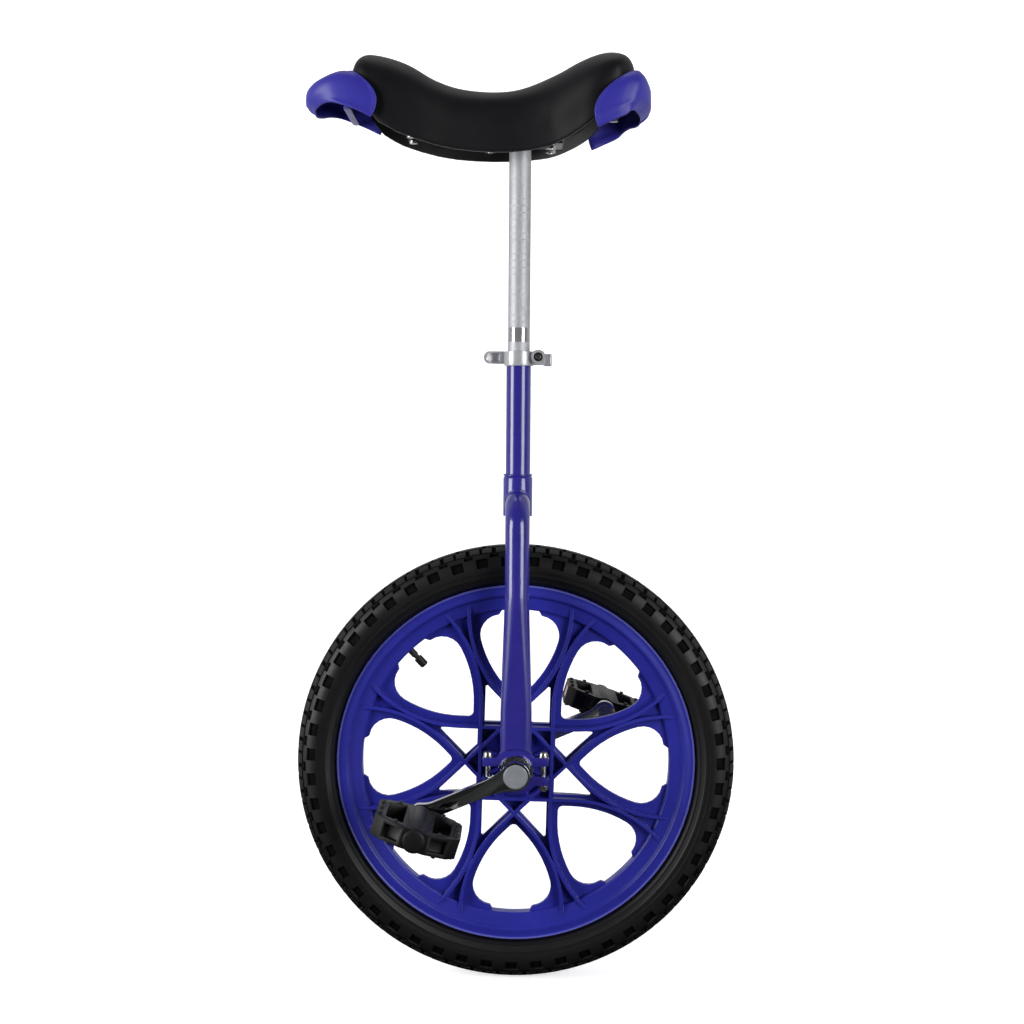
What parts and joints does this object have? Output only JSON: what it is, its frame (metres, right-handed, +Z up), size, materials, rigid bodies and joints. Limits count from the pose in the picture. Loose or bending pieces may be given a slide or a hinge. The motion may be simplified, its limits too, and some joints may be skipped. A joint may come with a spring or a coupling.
{
  "type": "unicycle",
  "caption": "Unicycle with a moulded blue spoked wheel, tubular fork, fixed cranks with cage pedals, quick-release seat post and a padded saddle with end bumpers.",
  "frame": {"origin": "the point on the ground under the middle of the wheel", "axes": "+Z up, -X the riding direction (front of the saddle), -Y the rider's left; the axle runs along Y"},
  "size_m": [0.514, 0.3744, 1.0735],
  "materials": {
    "frame_paint": "violet-blue gloss enamel over steel tube",
    "wheel_plastic": "violet-blue moulded nylon, semi-gloss",
    "tyre_rubber": "black natural rubber, matt with moulded tread",
    "rubber_dark": "black rubber",
    "zinc_steel": "bright zinc-plated steel",
    "bearing_steel": "ground bearing steel",
    "crank_chrome": "polished nickel-chrome over forged steel",
    "post_chrome": "knurled and polished chrome-plated tube",
    "clamp_aluminium": "polished cast aluminium",
    "grey_plastic": "grey moulded plastic",
    "black_plastic": "black moulded polypropylene",
    "amber_lens": "amber prismatic reflector",
    "brass_washer": "brass",
    "bumper_plastic": "violet-blue moulded plastic, satin gloss",
    "saddle_vinyl": "black satin vinyl",
    "foam": "moulded polyurethane foam",
    "black_steel": "black-painted pressed steel"
  },
  "bodies": {
    "frame": {"seat_tube": "frame_paint", "crown_socket": "frame_paint", "fork_leg_left": "frame_paint", "fork_leg_right": "frame_paint", "bearing_holder_left": "frame_paint", "bearing_holder_right": "frame_paint", "lower_cap_left": "frame_paint", "lower_cap_right": "frame_paint", "holder_bolts": "zinc_steel", "holder_nuts": "zinc_steel", "bearing_outer_ring_left": "bearing_steel", "bearing_outer_ring_right": "bearing_steel", "bearing_shields": "zinc_steel", "clamp_collar": "clamp_aluminium", "clamp_skewer": "zinc_steel", "clamp_washer": "brass_washer", "clamp_lever_pin": "zinc_steel"},
    "wheel": {"hub_axle": "zinc_steel", "bearing_spacers": "zinc_steel", "bearing_inner_ring_left": "bearing_steel", "bearing_inner_ring_right": "bearing_steel", "mag_wheel": "wheel_plastic", "rim_tape": "rubber_dark", "inner_tube": "rubber_dark", "tyre": "tyre_rubber", "crank_left": "crank_chrome", "crank_right": "crank_chrome", "crank_bolts": "zinc_steel", "crank_dust_caps": "grey_plastic", "pedal_spindle_left": "zinc_steel", "pedal_spindle_right": "zinc_steel", "pedal_lock_nuts": "zinc_steel"},
    "bearing_cage_left": {"bearing_balls_left": "bearing_steel"},
    "bearing_cage_right": {"bearing_balls_right": "bearing_steel"},
    "pedal_left": {"pedal_body_left": "black_plastic", "pedal_cups_left": "bearing_steel", "pedal_end_cap_left": "black_plastic", "pedal_reflectors_left": "amber_lens"},
    "pedal_right": {"pedal_body_right": "black_plastic", "pedal_cups_right": "bearing_steel", "pedal_end_cap_right": "black_plastic", "pedal_reflectors_right": "amber_lens"},
    "pedal_cage_left": {"pedal_balls_left": "bearing_steel"},
    "pedal_cage_right": {"pedal_balls_right": "bearing_steel"},
    "valve_cap_body": {"valve_cap": "black_plastic"},
    "clamp_lever_body": {"clamp_lever": "clamp_aluminium"},
    "clamp_nut_body": {"clamp_nut": "clamp_aluminium", "clamp_nut_ring": "black_plastic"},
    "post_slide": {"post_end_plug": "black_plastic"},
    "saddle": {"seat_post": "post_chrome", "post_plate": "black_steel", "post_plate_bolts": "zinc_steel", "saddle_base": "black_plastic", "saddle_foam": "foam", "saddle_cover": "saddle_vinyl", "front_bumper": "bumper_plastic", "rear_bumper": "bumper_plastic", "bumper_screws": "zinc_steel"}
  },
  "joints": [
    {"name": "wheel_spin", "type": "hinge", "parent": "frame", "child": "wheel", "pos_m": [0, 0, 0.257], "axis": [0, 1, 0], "continuous": true},
    {"name": "bearing_cage_spin_left", "type": "hinge", "parent": "frame", "child": "bearing_cage_left", "pos_m": [0, -0.05, 0.257], "axis": [0, 1, 0], "continuous": true},
    {"name": "bearing_cage_spin_right", "type": "hinge", "parent": "frame", "child": "bearing_cage_right", "pos_m": [0, 0.05, 0.257], "axis": [0, 1, 0], "continuous": true},
    {"name": "pedal_spin_left", "type": "hinge", "parent": "wheel", "child": "pedal_left", "pos_m": [-0.10786, 0, 0.21166], "axis": [0, 1, 0], "continuous": true},
    {"name": "pedal_spin_right", "type": "hinge", "parent": "wheel", "child": "pedal_right", "pos_m": [0.10786, 0, 0.30234], "axis": [0, 1, 0], "continuous": true},
    {"name": "pedal_cage_spin_left", "type": "hinge", "parent": "wheel", "child": "pedal_cage_left", "pos_m": [-0.10786, 0, 0.21166], "axis": [0, 1, 0], "continuous": true},
    {"name": "pedal_cage_spin_right", "type": "hinge", "parent": "wheel", "child": "pedal_cage_right", "pos_m": [0.10786, 0, 0.30234], "axis": [0, 1, 0], "continuous": true},
    {"name": "valve_cap_off", "type": "slide", "parent": "wheel", "child": "valve_cap_body", "axis": [0.6896, 0, -0.7242], "range_m": [0, 0.012], "stiffness_N_per_m": 20},
    {"name": "seat_height", "type": "slide", "parent": "frame", "child": "post_slide", "axis": [0, 0, 1], "range_m": [-0.12, 0.01], "stiffness_N_per_m": 20000},
    {"name": "seat_swivel", "type": "hinge", "parent": "post_slide", "child": "saddle", "pos_m": [0, 0, 0.677], "axis": [0, 0, 1], "range_deg": [-180, 180]},
    {"name": "clamp_lever_open", "type": "hinge", "parent": "frame", "child": "clamp_lever_body", "pos_m": [0.0223, 0.021, 0.7311], "axis": [0, 0, -1], "range_deg": [0, 175]},
    {"name": "clamp_nut_turn", "type": "hinge", "parent": "frame", "child": "clamp_nut_body", "pos_m": [0.0223, -0.0145, 0.7311], "axis": [0, -1, 0], "continuous": true}
  ],
  "couplings": [
    {"joint": "bearing_cage_spin_left", "follows": "wheel_spin", "ratio": 0.38158},
    {"joint": "bearing_cage_spin_right", "follows": "wheel_spin", "ratio": 0.38158},
    {"joint": "pedal_cage_spin_left", "follows": "pedal_spin_left", "ratio": 0.63699},
    {"joint": "pedal_cage_spin_right", "follows": "pedal_spin_right", "ratio": 0.63699}
  ]
}
